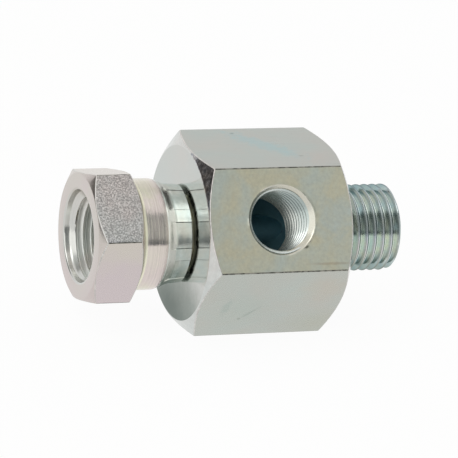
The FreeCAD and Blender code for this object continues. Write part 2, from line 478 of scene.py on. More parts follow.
@dataclass
class TurnedBody(Turning):
    """The block with its stud, coned nose, gauge port and run, all one turning."""

    bar: Hexagon = Hexagon(27.0, 26.5, 15.552, 30.0)
    edge_reach: float = 0.4
    left_face: float = -22.8
    shoulder: float = 0.0
    run: float = 2.75
    nose_tip: float = -31.894
    nose_tip_radius: float = 3.6
    nose_slope: float = math.tan(math.radians(30.0))
    slot_start: float = 0.8
    slot_end: float = 2.3
    slot_floor: float = 3.53
    flange: float = 6.4
    flange_root: float = 5.3
    flange_front: float = -28.95
    flange_back: float = -27.35
    neck: float = 5.6
    neck_start: float = -26.55
    stud_end: float = 10.8
    stud_chamfer: float = 0.35
    stud_crest: float = 3.85
    stud_crest_angle: float = 20.0
    relief_end: float = 2.45
    seat: float = 4.5
    seat_depth: float = 3.031
    left_rings: Triple = (5.92, 8.2, 10.8)
    right_rings: Triple = (9.5, 6.0925, 5.9725)
    shaded_from: float = -24.0
    shaded_to: float = 26.0
    port_flat: float = 30.0
    port_wall: float = 4.4585
    port_root: float = 5.0
    port_pitch: float = 1.0
    port_crest: float = 0.55
    port_mouth: float = 5.2
    port_depth: float = 10.6
    drill_slope: float = math.tan(math.radians(59.0))
    drill_reach: float = 85.0

    @property
    def port_centre(self) -> float:
        """Give the X of the gauge port's axis."""
        return (self.left_face + self.shoulder) / 2.0

    def build(self) -> bpy.types.Object:
        """Draw the whole turning as one closed skin, ready to ride.

        Returns:
            The piece.
        """
        self.angles = columns(self.bar.corners(), self.edge_reach)
        nose_start = self.turned(*rings((self.nose_tip, self.run)))
        block_right, left_edge, right_edge = self.block(self.nose(nose_start))
        opening = self.run_bore(self.stud(block_right), nose_start)
        self.fill_port_flat(left_edge, right_edge, self.port(opening))
        piece = self.skin.finished("turned_body", self.finishes)
        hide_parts("body")
        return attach(piece, "coupling")

    def nose(self, start: Row) -> Row:
        """Draw the coned nose, its ring's slot, the thrust flange and the neck.

        Args:
            start: The row where the nose's tip meets the run's bore.

        Returns:
            The row where the neck meets the left face.
        """
        near, far = self.nose_tip + self.slot_start, self.nose_tip + self.slot_end
        near_cone, far_cone = (
            self.nose_tip_radius + (x - self.nose_tip) * self.nose_slope for x in (near, far)
        )
        return self.chain(start, rings(
            (self.nose_tip, self.nose_tip_radius - 0.06),
            (self.nose_tip + 0.05, self.nose_tip_radius + 0.03),
            (near - 0.04, near_cone - 0.02), (near, near_cone - 0.05),
            (near, self.slot_floor), (far, self.slot_floor), (far, far_cone),
            (self.flange_front, self.flange_root), (self.flange_front, self.flange - 0.1),
            (self.flange_front + 0.1, self.flange), (self.flange_back, self.flange),
            (self.neck_start, self.neck), (self.left_face - 0.2, self.neck),
            (self.left_face, self.neck + 0.2),
        ), Surface.ROOT)

    def block(self, start: Row) -> tuple[Row, Row, Row]:
        """Draw the block's end faces, cones and flats, but for the flat with the port.

        Args:
            start: The row where the neck meets the left face.

        Returns:
            The row where the right face meets the stud, and the rows that bound the flats.
        """
        left = self.bar.end(self.left_face, 1.0)
        right = self.bar.end(self.shoulder, -1.0)
        # The rings close to the neck and to the stud keep the two end faces flat in their shading.
        inner = rings(*((self.left_face, radius) for radius in self.left_rings))
        edge = self.chain(start, inner + left[:1], Surface.TURNED_FACE)
        edge = self.chain(edge, left[1:5], self.left_chamfer_finish)
        left_edge = self.chain(edge, left[5:], Surface.ARC_EDGE)
        right_edge = self.chain(left_edge, right[7:], self.flat_finish)
        edge = self.chain(right_edge, right[6:3:-1], Surface.ARC_EDGE)
        edge = self.chain(edge, right[3::-1], Surface.CHAMFER)
        inner = rings(*((self.shoulder, radius) for radius in self.right_rings))
        return self.chain(edge, inner, Surface.TURNED_FACE), left_edge, right_edge

    def left_chamfer_finish(self, index: int) -> Surface:
        """Name the finish of the left chamfer, which is a little rougher, and painted darker as
        painted shade, beside the port's upper corner.

        Args:
            index: Index of the point before the face.

        Returns:
            The finish.
        """
        lean = off_centre(self.angles[index], self.port_flat + FLAT_PITCH / 2.0)
        return Surface.DULL_CHAMFER if self.shaded_from < lean < self.shaded_to else Surface.CHAMFER

    def flat_finish(self, index: int) -> Surface | None:
        """Name the finish of a flat, or None on the one with the port, which is filled later.

        Args:
            index: Index of the point before the face.

        Returns:
            The finish, or None.
        """
        if self.on_corner(index):
            return Surface.CORNER
        if self.on_flat(index, self.port_flat):
            return None
        # The flat below the port's flat is a lighter copy of the drawn flats, painted light.
        below = self.on_flat(index, self.port_flat - FLAT_PITCH)
        return Surface.HANDLED_FLAT if below else Surface.DRAWN_FLAT

    def stud(self, start: Row) -> Row:
        """Draw the stud: its relief, its thread, its end face and the coned seat.

        Args:
            start: The row where the right face meets the stud.

        Returns:
            The row at the bottom of the seat.
        """
        thread = Thread(
            PIPE_PITCH, PIPE_MAJOR, PIPE_MINOR,
            self.stud_crest + PIPE_PITCH * self.stud_crest_angle / FULL_TURN, Wall.MALE,
        )
        valley = PIPE_MINOR + 0.8 * (PIPE_MAJOR - PIPE_MINOR)

        def envelope(x: float) -> float:
            """Give the radius that the relief and the stud's chamfer leave at a place."""
            return min(PIPE_MINOR + max(0.0, x - self.relief_end),
                       PIPE_MAJOR - max(0.0, x - self.stud_end + self.stud_chamfer))

        def finish(x: float, radius: float) -> Surface:
            """Name the finish of a flank or of a root."""
            return Surface.STUD_ROOT if radius < valley else Surface.STUD

        row = self.chain(start, rings((0.08, PIPE_MINOR + 0.07), (0.25, PIPE_MINOR)),
                         Surface.STUD_ROOT)
        first, last = self.skin.screw(thread, self.angles, self.relief_end, self.stud_end,
                                      envelope, around, finish)
        self.skin.band(row, first, Surface.STUD_ROOT)
        return self.chain(last, rings(
            (self.stud_end, self.seat + 0.1), (self.stud_end - 0.1, self.seat),
            (self.stud_end - self.seat_depth, self.run),
        ), Surface.STUD)

    def opening_reach(self, angle: float) -> float:
        """Tell how far along the run the drill's cone opens its wall in one direction.

        Args:
            angle: Direction about the run.

        Returns:
            The reach on each side of the port's axis, or 0 where the wall is whole.
        """
        lean = math.radians(off_centre(angle, self.port_flat))
        if abs(lean) > math.radians(self.drill_reach):
            return 0.0
        tip = self.bar.across_flats / 2.0 - self.port_depth - self.port_wall / self.drill_slope
        reach = (self.run * math.cos(lean) - tip) * self.drill_slope
        side = self.run * math.sin(lean)
        return math.sqrt(max(0.0, reach * reach - side * side)) if reach > 0.0 else 0.0

    def run_bore(self, start: Row, end: Row) -> Row:
        """Draw the run's bore, open where the gauge port's drill breaks into it.

        Args:
            start: The row at the bottom of the stud's seat.
            end: The row at the nose's tip.

        Returns:
            The loop of points round the opening.
        """
        reach = [self.opening_reach(angle) for angle in self.angles]
        right = self.turned(lambda angle: (self.port_centre + self.opening_reach(angle), self.run))
        left = [
            self.skin.mesh.verts.new(around(self.port_centre - far, self.run, angle))
            if far > 0.0 else point
            for far, angle, point in zip(reach, self.angles, right)
        ]
        self.skin.band(start, right, Surface.RUN)
        self.skin.band(left, end, Surface.RUN)
        wide = sorted((index for index, far in enumerate(reach) if far > 0.0),
                      key=lambda index: off_centre(self.angles[index], self.port_flat))
        ends = (wide[0] - 1) % len(reach), (wide[-1] + 1) % len(reach)
        return ([right[index] for index in (ends[0], *wide, ends[1])]
                + [left[index] for index in reversed(wide)])

    def port_point(self, depth: float, radius: float, angle: float) -> Vector:
        """Place a point of the gauge port by its depth below the flat.

        Args:
            depth: Depth below the flat.
            radius: Distance from the port's axis.
            angle: Direction about that axis.

        Returns:
            The point.
        """
        turn = math.radians(angle)
        out = around(0.0, 1.0, self.port_flat)
        up = around(0.0, 1.0, self.port_flat + 90.0)
        centre = Vector((self.port_centre, 0.0, 0.0)) + out * (self.bar.across_flats / 2.0 - depth)
        return centre + Vector((radius * math.cos(turn), 0.0, 0.0)) + up * radius * math.sin(turn)

    def rim_wear(self, angle: float) -> float:
        """Tell how far the port's rim is worn outward in one direction, in millimetres.

        Args:
            angle: Direction about the port's axis.

        Returns:
            The wear.
        """
        nicks = ((-38.0, 5.0, 0.16), (-27.0, 3.0, 0.10), (-52.0, 7.0, 0.07), (118.0, 6.0, 0.04))
        worn = 0.02 * (1.0 + noise.noise(Vector((angle / 14.0, 3.1, 0.4))))
        for centre, width, depth in nicks:
            lean = off_centre(angle, centre) / width
            worn += depth * math.exp(-lean * lean)
        return worn

    def port(self, opening: Row) -> Row:
        """Draw the gauge port: its countersink, its thread, its wall and the drill's cone.

        Args:
            opening: The loop where the drill breaks into the run.

        Returns:
            The loop round its rim, in the plane of the flat.
        """
        angles = evenly(144)
        thread = Thread(self.port_pitch, self.port_wall, self.port_root, self.port_crest,
                        Wall.FEMALE)
        thread_start, thread_end, countersink = 0.12, self.port_depth - 0.25, 0.75

        def row(depth: float, radius: Callable[[float], float]) -> Row:
            """Add one row about the port's axis."""
            return self.skin.row(self.port_point(depth, radius(angle), angle) for angle in angles)

        def envelope(depth: float) -> float:
            """Give the radius of the countersink or of the wall at a depth."""
            return max(self.port_mouth - depth + 0.05, self.port_wall)

        def finish(depth: float, radius: float) -> Surface:
            """Name the finish of the countersink or of the thread."""
            cone = depth < countersink and radius <= envelope(depth) + WELD
            return Surface.PORT_MOUTH if cone else Surface.PORT

        rim = row(0.0, lambda angle: self.port_mouth + 0.05 + self.rim_wear(angle))
        lip = row(0.05, lambda angle: self.port_mouth + 0.4 * self.rim_wear(angle))
        self.skin.band(rim, lip, Surface.PORT_MOUTH)
        apron = row(0.0, lambda angle: self.port_mouth + 0.5)
        self.skin.band(apron, rim, Surface.PORT_FLAT)
        first, last = self.skin.screw(thread, angles, thread_start, thread_end, envelope,
                                      self.port_point, finish)
        self.skin.band(lip, first, Surface.PORT_MOUTH)
        for depth in (self.port_depth - 0.15, self.port_depth):
            last = self.skin.band(last, row(depth, lambda angle: self.port_wall), Surface.BORE)
        edges = self.skin.loop_edges(last, opening)
        bridged = bmesh.ops.bridge_loops(self.skin.mesh, edges=edges)
        self.skin.paint(bridged["faces"], Surface.BORE)
        return apron

    def fill_port_flat(self, left: Row, right: Row, rim: Row) -> None:
        """Fill the flat round the gauge port's rim.

        Args:
            left: The row that bounds the flats on the left.
            right: The row that bounds them on the right.
            rim: The port's rim.
        """
        # The fill ends where the broken corners on both sides begin.
        reach = FLAT_PITCH / 2.0 - self.edge_reach + 0.01
        inside = [
            index for index, angle in enumerate(self.angles)
            if abs(off_centre(angle, self.port_flat)) < reach
        ]
        outline = [left[index] for index in inside] + [right[index] for index in reversed(inside)]
        edges = self.skin.loop_edges(outline, rim)
        filled = bmesh.ops.triangle_fill(self.skin.mesh, use_beauty=True, edges=edges)
        faces = (item for item in filled["geom"] if isinstance(item, bmesh.types.BMFace))
        self.skin.paint(faces, Surface.PORT_FLAT)


@dataclass
class SwivelNut(Turning):
    """The nut: hexagon, collar and a skirt crimped by eight dies, with a thread in its mouth."""

    bar: Hexagon = Hexagon(19.0, 18.8, 10.935, 47.5)
    edge_reach: float = 0.45
    face: float = -38.6
    hexagon_end: float = -31.5
    skirt_end: float = -23.25
    mouth: float = 6.9
    thread_length: float = 6.5
    thread_crest: float = 0.75
    relief: float = 6.6
    relief_end: float = -27.25
    lip: float = 5.8
    lip_start: float = -26.45
    collar: float = 8.35
    collar_end: float = -27.9
    collar_rings: tuple[float, float] = (-29.0, -30.2)
    collar_fillet: float = 0.9
    face_ring: float = 8.2
    skirt: float = 7.65
    bend_end: float = -25.2
    taper_start: float = -25.4
    die_radius: float = 7.45
    die_start: float = -25.6
    die_slope: float = 0.07
    first_die: float = 20.7
    dies: int = 8
    die_half_width: float = 15.0
    die_edge: float = 0.2
    die_hollow: float = 0.05
    die_run_out: float = 0.5
    burr: float = 0.035
    burr_width: float = 2.5
    bite: float = 0.09
    ripple: float = 0.02
    dent: float = 0.03

    def build(self) -> bpy.types.Object:
        """Draw the nut as one closed skin, ready to ride.

        Returns:
            The piece.
        """
        pitch = FULL_TURN / self.dies
        edges = [
            (self.first_die + pitch * index + side * self.die_half_width) % FULL_TURN
            for index in range(self.dies) for side in (-1.0, 1.0)
        ]
        self.angles = columns(self.bar.corners() + edges, self.edge_reach)
        mouth, row = self.bore()
        row = self.hexagon(self.collar_and_root(self.crimped_skirt(row)))
        row = self.chain(row, rings((self.face, self.mouth + 0.32)), Surface.NUT_FACE)
        row = self.chain(row, rings(
            (self.face + 0.02, self.mouth + 0.18), (self.face + 0.07, self.mouth + 0.07),
        ), Surface.NUT_MOUTH)
        self.skin.band(row, mouth, Surface.NUT_MOUTH)
        piece = self.skin.finished("crimped_swivel_nut", self.finishes)
        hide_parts("swivel_nut")
        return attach(piece, "nut")

    def bore(self) -> tuple[Row, Row]:
        """Draw the mouth's cone, the thread, the relief and the crimped lip.

        Returns:
            The rows at the mouth and at the skirt's end.
        """
        thread = Thread(PIPE_PITCH, PIPE_MINOR, PIPE_MAJOR, self.face + self.thread_crest,
                        Wall.FEMALE)
        thread_end = self.face + self.thread_length

        def envelope(x: float) -> float:
            """Give the radius of the mouth's cone or of the thread's run-out.

            Args:
                x: Place along the run.

            Returns:
                The radius.
            """
            depth = x - self.face
            cone = self.mouth + 0.03 - 0.2 * depth - 0.8 * max(0.0, depth - 0.95)
            return max(cone, self.relief - (thread_end - x))

        def finish(x: float, radius: float) -> Surface:
            """Name the finish of the mouth's cone or of the thread."""
            cone = x < self.face + 2.1 and radius <= envelope(x) + WELD
            return Surface.NUT_MOUTH if cone else Surface.NUT_THREAD

        first, last = self.skin.screw(thread, self.angles, self.face + 0.16, thread_end, envelope,
                                      around, finish)
        return first, self.chain(last, rings(
            (thread_end + 0.02, self.relief + 0.01), (self.relief_end, self.relief),
            (self.lip_start, self.lip), (self.skirt_end - 0.1, self.lip),
            (self.skirt_end, self.lip + 0.1),
        ), Surface.ROOT)

    def skirt_radius(self, x: float, angle: float) -> float:
        """Give the crimped skirt's radius at a place and direction.

        Args:
            x: Place along the run.
            angle: Direction about it.

        Returns:
            The radius, which the dies press in where they bit.
        """
        bend = self.collar - (self.collar - self.skirt) * eased(x, self.collar_end, self.bend_end)
        bend -= self.die_slope * max(0.0, x - self.taper_start)
        rippled = eased(x, self.collar_end + 0.5, self.collar_end + 1.3)
        bend += self.ripple * noise.noise(around(x, 5.5, angle)) * rippled
        lean = abs(off_centre(angle, self.first_die, FULL_TURN / self.dies))
        shoulder = max(0.0, self.die_start - x)
        bitten = 1.0 - eased(x, self.die_start, self.die_start - self.die_run_out)
        if lean > self.die_half_width + self.die_edge:
            raised = self.burr * max(0.0, 1.0 - (lean - self.die_half_width) / self.burr_width)
            return bend + raised * bitten - self.burr * bitten
        dip = self.die_hollow * (lean / self.die_half_width) ** 2
        edge = 0.0 if lean < self.die_half_width - self.die_edge else -self.bite * bitten
        slant = self.die_slope * ((self.die_start + self.skirt_end) / 2.0 - x)
        dent = self.dent * noise.noise(around(x, 6.0, angle))
        pressed = self.die_radius + slant + dip + edge + dent + 0.3 * shoulder * shoulder
        return min(bend, pressed)

    def skirt_finish(self, x: float, index: int) -> Surface:
        """Name the finish of a face of the skirt: bent in, painted dark along a die's bitten edge
        as painted shade, or pressed.

        Args:
            x: Place of the face along the run.
            index: Index of the point before the face.

        Returns:
            The finish.
        """
        if x < self.collar_end + 0.5:
            return Surface.COLLAR
        if x < self.die_start - 0.3:
            return Surface.BEND
        lean = abs(off_centre(self.angles[index], self.first_die, FULL_TURN / self.dies))
        length = noise.noise(Vector((round(self.angles[index] / 7.0) * 1.7, 0.4, 2.2)))
        bitten = abs(lean - self.die_half_width) < 0.3 and x < self.skirt_end - 0.3 + 2.0 * length
        return Surface.DIE_MARK if bitten else Surface.SKIRT

    def crimped_skirt(self, start: Row) -> Row:
        """Draw the skirt from its broken inner edge back to the collar.

        Args:
            start: The row at the lip.

        Returns:
            The row where the skirt meets the collar.
        """
        row = self.chain(start, [
            lambda angle: (self.skirt_end, self.skirt_radius(self.skirt_end, angle) - 0.12),
        ], Surface.SKIRT)
        first, rows = self.skirt_end - 0.1, 34
        for index in range(rows + 1):
            x = first + (self.collar_end - self.skirt_end + 0.1) * index / rows
            row = self.chain(row, [lambda angle: (x, self.skirt_radius(x, angle))],
                             lambda column: self.skirt_finish(x, column))
        return row

    def collar_and_root(self, start: Row) -> Row:
        """Draw the turned collar and the fillet behind the hexagon.

        Args:
            start: The row where the skirt meets the collar.

        Returns:
            The row where the fillet meets the hexagon.
        """
        places = (*self.collar_rings, self.hexagon_end + self.collar_fillet)
        row = self.chain(start, rings(*((x, self.collar) for x in places)), Surface.COLLAR)
        turns = (math.radians(15.0 * step) for step in range(1, 7))
        return self.chain(row, rings(*(
            (self.hexagon_end + self.collar_fillet * (1.0 - math.sin(turn)),
             self.collar + self.collar_fillet * (1.0 - math.cos(turn))) for turn in turns
        )), Surface.ROOT)

    def hexagon(self, start: Row) -> Row:
        """Draw the hexagon from its back face to its front face.

        Args:
            start: The row where the fillet meets the hexagon.

        Returns:
            The last plain ring of the front face.
        """
        back = self.bar.end(self.hexagon_end, -1.0)
        front = self.bar.end(self.face, 1.0)
        steps = 24
        row = self.chain(start, back[:1], Surface.ROOT)
        row = self.chain(row, back[1:5], Surface.NUT_FACE)
        row = self.chain(row, back[5:], Surface.ARC_EDGE)
        row = self.chain(row, [
            between(back[7], front[7], index / steps) for index in range(1, steps + 1)
        ], self.flat_finish)
        row = self.chain(row, front[6:3:-1], Surface.ARC_EDGE)
        inner = rings((self.face, self.face_ring))
        return self.chain(row, front[3::-1] + inner, Surface.NUT_FACE)

    def flat_finish(self, index: int) -> Surface:
        """Name the finish of a flat: rolled scale on two opposite ones, and ground on the rest.

        Args:
            index: Index of the point before the face.

        Returns:
            The finish.
        """
        if self.on_corner(index):
            return Surface.CORNER
        nearest = round(((self.middle(index) - self.bar.first_flat) % FULL_TURN) / FLAT_PITCH)
        return Surface.SCALED_FLAT if nearest % 3 == 0 else Surface.NUT_FLAT


@dataclass
class NoseRing:
    """The O-ring in the nose's slot."""

    rubber: bpy.types.Material
    middle: float = -30.344
    centre_line: float = 4.15
    section: float = 0.6
    parting_line: float = 0.012

    def build(self) -> bpy.types.Object:
        """Draw the ring with the fine parting line that moulding leaves, ready to ride.

        Returns:
            The piece.
        """
        skin = Skin()
        rows = []
        for slant in evenly(24):
            radius = self.section + (self.parting_line if slant in (0.0, 180.0) else 0.0)
            x = self.middle + radius * math.sin(math.radians(slant))
            out = self.centre_line - radius * math.cos(math.radians(slant))
            out = max(out, self.centre_line - self.section)
            rows.append(skin.row(around(x, out, angle) for angle in evenly(120)))
        # The ring has only one material, which is in the first slot.
        for row, following in zip(rows, rows[1:] + rows[:1]):
            skin.band(row, following, Surface.DRAWN_FLAT)
        piece = skin.finished("nose_ring", [self.rubber])
        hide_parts("nose_o_ring")
        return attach(piece, "coupling")


class Shading:
    """The node tree of a material, of the world or of a group, while it is put together."""

    def __init__(self, tree: bpy.types.NodeTree) -> None:
        """Take the tree that is to be filled."""
        self.tree = tree

    def node(self, kind: str, links: dict[str | int, object] | None = None,
             **settings: object) -> bpy.types.Node:
        """Add a node, set it up and feed its inputs.

        Args:
            kind: The node's type, without its leading words.
            links: For each input, a socket to link from or a plain value.
            settings: Settings of the node itself.

        Returns:
            The node.
        """
        node = self.tree.nodes.new(f"ShaderNode{kind}")
        for name, value in settings.items():
            setattr(node, name, value)
        for name, value in (links or {}).items():
            if isinstance(value, bpy.types.NodeSocket):
                self.tree.links.new(value, node.inputs[name])
            else:
                node.inputs[name].default_value = value
        return node

    def math(self, operation: str, *values: object) -> bpy.types.NodeSocket:
        """Work out a number from others."""
        return self.node("Math", dict(enumerate(values)), operation=operation).outputs[0]

    def vector(self, operation: str, *values: object) -> bpy.types.NodeOutputs:
        """Work out a vector, or a number, from vectors."""
        return self.node("VectorMath", dict(enumerate(values)), operation=operation).outputs

    def scaled(self, vector: bpy.types.NodeSocket, scale: object) -> bpy.types.NodeSocket:
        """Scale a vector or a colour."""
        return self.node("VectorMath", {0: vector, "Scale": scale}, operation="SCALE").outputs[0]

    def spread(self, value: bpy.types.NodeSocket, low: object = 0.0, high: object = 1.0,
               start: float = 0.0, end: float = 1.0, smooth: bool = False) -> bpy.types.NodeSocket:
        """Map a number from one range to another, and hold it at both ends."""
        return self.node("MapRange", {0: value, 1: low, 2: high, 3: start, 4: end},
                         interpolation_type="SMOOTHSTEP" if smooth else "LINEAR").outputs[0]

    def blend(self, share: object, first: object, second: object,
              kind: str = "MIX") -> bpy.types.NodeSocket:
        """Blend two colours."""
        return self.node("Mix", {0: share, 6: first, 7: second}, data_type="RGBA",
                         blend_type=kind).outputs[2]

    def noise(self, links: dict[str, object], **settings: object) -> bpy.types.NodeSocket:
        """Add a noise texture, and give its value."""
        return self.node("TexNoise", links, **settings).outputs["Fac"]

    def bump(self, height: bpy.types.NodeSocket, depth: float,
             **below: bpy.types.NodeSocket) -> bpy.types.NodeSocket:
        """Raise fine relief, with its depth in millimetres, on top of any other."""
        links = {"Strength": 1.0, "Distance": depth * METRES, "Height": height, **below}
        return self.node("Bump", links).outputs[0]

    def millimetres(self) -> bpy.types.NodeSocket:
        """Give the place on the piece in millimetres."""
        return self.scaled(self.node("TexCoord").outputs["Object"], 1.0 / METRES)


class Group(Shading):
    """A shader node group, while it is put together."""

    def __init__(self, name: str, inputs: dict[str, object]) -> None:
        """Make the group with its inputs.

        Args:
            name: The group's name.
            inputs: Each input's name and the value that it has to begin with.
        """
        super().__init__(bpy.data.node_groups.new(name, "ShaderNodeTree"))
        for label, value in inputs.items():
            kind = {3: "Vector", 4: "Color"}[len(value)] if isinstance(value, tuple) else "Float"
            socket = self.tree.interface.new_socket(label, in_out="INPUT",
                                                    socket_type=f"NodeSocket{kind}")
            socket.default_value = value
        self.given = self.tree.nodes.new("NodeGroupInput").outputs

    def giving(self, **results: bpy.types.NodeSocket) -> bpy.types.NodeTree:
        """Feed the group's outputs, which are made for it, and give its tree.

        Args:
            results: Each output's name and the socket that feeds it.

        Returns:
            The group's tree.
        """
        output = self.tree.nodes.new("NodeGroupOutput")
        for label, result in results.items():
            kind = {"VALUE": "Float", "RGBA": "Color"}[result.type]
            self.tree.interface.new_socket(label, in_out="OUTPUT", socket_type=f"NodeSocket{kind}")
            self.tree.links.new(result, output.inputs[label])
        return self.tree


def passivation_group() -> bpy.types.NodeTree:
    """Make the faint pink, yellow and blue clouding of passivated zinc. Where a finish gives a
    lean, the hue also shifts with height, a painted reflection.

    Returns:
        The group's tree.
    """
    group = Group("passivation", {
        "Colour": (0.78, 0.78, 0.76, 1.0), "Strength": 0.5, "Cloud size": 0.12,
        "Lean": (0.0, 0.0, 0.0), "Warm": (0.90, 0.74, 0.74, 1.0), "Cool": (0.66, 0.80, 0.86, 1.0),
    })
    given, place = group.given, group.millimetres()
    cloud = group.noise({"Vector": place, "Scale": given["Cloud size"], "Detail": 3.0,
                         "Roughness": 0.55, "Distortion": 0.4})
    lean = group.vector("DOT_PRODUCT", place, given["Lean"])["Value"]
    share = group.spread(group.math("ADD", cloud, lean), 0.35, 0.65)
    hue = group.blend(share, given["Warm"], given["Cool"])
    return group.giving(Colour=group.blend(given["Strength"], given["Colour"], hue, "MULTIPLY"))


def grain_group() -> bpy.types.NodeTree:
    """Make the fine mottling of plated steel, as a mask and a height.

    Returns:
        The group's tree.
    """
    group = Group("plating_grain", {
        "Fineness": 3.0, "Stretch": (1.0, 1.0, 1.0), "Contrast": 0.5,
    })
    given = group.given
    place = group.vector("MULTIPLY", group.millimetres(), given["Stretch"])[0]
    speck = group.noise({"Vector": place, "Scale": given["Fineness"], "Detail": 4.0,
                         "Roughness": 0.6})
    low, high = (group.math(way, 0.5, given["Contrast"]) for way in ("SUBTRACT", "ADD"))
    return group.giving(Mask=group.spread(speck, low, high), Height=speck)


def turning_group() -> bpy.types.NodeTree:
    """Make the fine rings that a lathe tool leaves, on a face or along a cylinder.

    Returns:
        The group's tree.
    """
    group = Group("turning_rings", {"Fineness": 4.0, "On a face": 0.0})
    place = group.node("SeparateXYZ", {0: group.millimetres()}).outputs
    flat = group.node("CombineXYZ", {1: place[1], 2: place[2]}).outputs[0]
    radius = group.vector("LENGTH", flat)["Value"]
    along = group.node("Mix", {0: group.given["On a face"], 2: place[0], 3: radius}).outputs[0]
    fine = group.math("MULTIPLY", along, group.given["Fineness"])
    ridges = group.noise({"W": fine, "Scale": 1.0, "Detail": 3.0, "Roughness": 0.7},
                         noise_dimensions="1D")
    return group.giving(Mask=group.spread(ridges, 0.3, 0.7))


def stain_and_painted_light_group() -> bpy.types.NodeTree:
    """Make one ragged patch of another tint. Some patches are real marks, such as a scuff or a
    streak left by the plating; others are painted light and painted shade.

    Returns:
        The group's tree.
    """
    group = Group("stain_and_painted_light", {
        "Colour": (0.78, 0.78, 0.76, 1.0), "Tint": (0.9, 0.9, 0.9, 1.0), "Place": (0.0, 0.0, 0.0),
        "Turn": (0.0, 0.0, 0.0), "Size": (1.0, 1.0, 1.0), "Ragged": 0.5, "Soft": 0.8,
    })
    given, place = group.given, group.millimetres()
    inside = group.node("Mapping", {
        "Vector": place, "Location": given["Place"], "Rotation": given["Turn"],
        "Scale": given["Size"],
    }, vector_type="TEXTURE").outputs[0]
    distance = group.vector("LENGTH", inside)["Value"]
    ripple = group.noise({"Vector": place, "Scale": 0.9, "Detail": 4.0, "Roughness": 0.6})
    edge = group.spread(ripple, start=-1.0)
    ragged = group.math("MULTIPLY_ADD", edge, given["Ragged"], distance)
    mask = group.spread(ragged, 1.0, group.math("SUBTRACT", 1.0, given["Soft"]), smooth=True)
    return group.giving(Colour=group.blend(mask, given["Colour"], given["Tint"], "MULTIPLY"))


@dataclass(frozen=True)
class Effects:
    """The shader groups that the finishes share, built once."""

    stain_and_painted_light: bpy.types.NodeTree = field(default_factory=stain_and_painted_light_group)
    passivation: bpy.types.NodeTree = field(default_factory=passivation_group)
    grain: bpy.types.NodeTree = field(default_factory=grain_group)
    turning: bpy.types.NodeTree = field(default_factory=turning_group)


def blank_material(name: str) -> tuple[bpy.types.Material, Shading]:
    """Make a material whose node tree is still empty.

    Args:
        name: The material's name.

    Returns:
        The material, and its tree to fill.
    """
    made = bpy.data.materials.new(name)
    made.use_nodes = True
    made.node_tree.nodes.clear()
    return made, Shading(made.node_tree)


@dataclass(frozen=True)
class StainAndPaintedLight:
    """One patch on a surface, a real mark or else painted light or shade: its middle and half
    sizes in millimetres, and its tint.
    """

    middle: Triple
    half_size: Triple
    tint: Triple
    turn: float = 0.0
    ragged: float = 0.5
    soft: float = 0.8


def stud_painted_light(front: Triple, below: Triple, top: Triple, above: Triple) -> tuple[StainAndPaintedLight, ...]:
    """Paint light and shade on the stud: a painted highlight on its front, and painted shade on
    its underside, on its top and on the band between its front and top.

    Args:
        front: Tint of the front.
        below: Tint of the underside.
        top: Tint of the top.
        above: Tint of the band.

    Returns:
        The stains.
    """
    places = (
        ((6.0, -6.2, 0.0), (7.0, 4.0, 2.8), front), ((6.0, -4.6, -5.2), (8.0, 4.0, 3.0), below),
        ((6.0, 1.6, 6.4), (8.0, 3.4, 1.8), top), ((6.0, -5.6, 3.3), (8.0, 3.0, 1.9), above),
    )
    return tuple(StainAndPaintedLight(*place, ragged=0.05, soft=0.6) for place in places)


@dataclass(frozen=True)
class ZincFinish:
    """How one surface of the zinc-plated steel looks."""

    name: str
    colour: Triple
    roughness: float
    clouding: float = 0.5
    cloud_size: float = 0.12
    warm: Triple = (0.90, 0.76, 0.76)
    cool: Triple = (0.70, 0.82, 0.86)
    lean: Triple = (0.0, 0.0, 0.0)
    fineness: float = 3.0
    stretch: Triple = (1.0, 1.0, 1.0)
    contrast: float = 0.3
    mottling: float = 0.12
    roughness_spread: float = 0.08
    grain_height: float = 0.004
    ring_fineness: float = 4.0
    ring_height: float = 0.0
    ring_shade: float = 0.0
    rings_on_face: bool = False
    edge: Triple = (1.0, 1.0, 1.0)
    metallic: float = 1.0
    stains_and_painted_light: tuple[StainAndPaintedLight, ...] = ()

    def material(self, effects: Effects) -> bpy.types.Material:
        """Make the material.

        Args:
            effects: The shared shader groups.

        Returns:
            The material, with its colour, roughness and relief from its nodes.
        """
        made, nodes = blank_material(self.name)
        tinted = nodes.node("Group", {
            "Colour": (*self.colour, 1.0), "Strength": self.clouding,
            "Cloud size": self.cloud_size, "Lean": self.lean, "Warm": (*self.warm, 1.0),
            "Cool": (*self.cool, 1.0),
        }, node_tree=effects.passivation).outputs["Colour"]
        for stain_and_painted_light in self.stains_and_painted_light:
            tinted = nodes.node("Group", {
                "Colour": tinted, "Tint": (*stain_and_painted_light.tint, 1.0), "Place": stain_and_painted_light.middle,
                "Turn": (0.0, 0.0, math.radians(stain_and_painted_light.turn)), "Size": stain_and_painted_light.half_size,
                "Ragged": stain_and_painted_light.ragged, "Soft": stain_and_painted_light.soft,
            }, node_tree=effects.stain_and_painted_light).outputs["Colour"]
        grain = nodes.node("Group", {
            "Fineness": self.fineness, "Stretch": self.stretch, "Contrast": self.contrast,
        }, node_tree=effects.grain).outputs
        rings_seen = nodes.node("Group", {
            "Fineness": self.ring_fineness, "On a face": float(self.rings_on_face),
        }, node_tree=effects.turning).outputs["Mask"]
        shade = nodes.math("MULTIPLY", *(
            nodes.spread(mask, start=1.0 - depth, end=1.0 + depth / 2.0)
            for mask, depth in ((grain["Mask"], self.mottling), (rings_seen, self.ring_shade))
        ))
        half_spread = self.roughness_spread / 2.0
        relief = nodes.bump(grain["Height"], self.grain_height)
        shader = nodes.node("BsdfPrincipled", {
            "Metallic": self.metallic, "Specular Tint": (*self.edge, 1.0),
            "Base Color": nodes.scaled(tinted, shade),
            "Roughness": nodes.spread(grain["Mask"], start=self.roughness - half_spread,
                                      end=self.roughness + half_spread),
            "Normal": nodes.bump(rings_seen, self.ring_height, Normal=relief),
        })
        nodes.node("OutputMaterial", {"Surface": shader.outputs[0]})
        return made


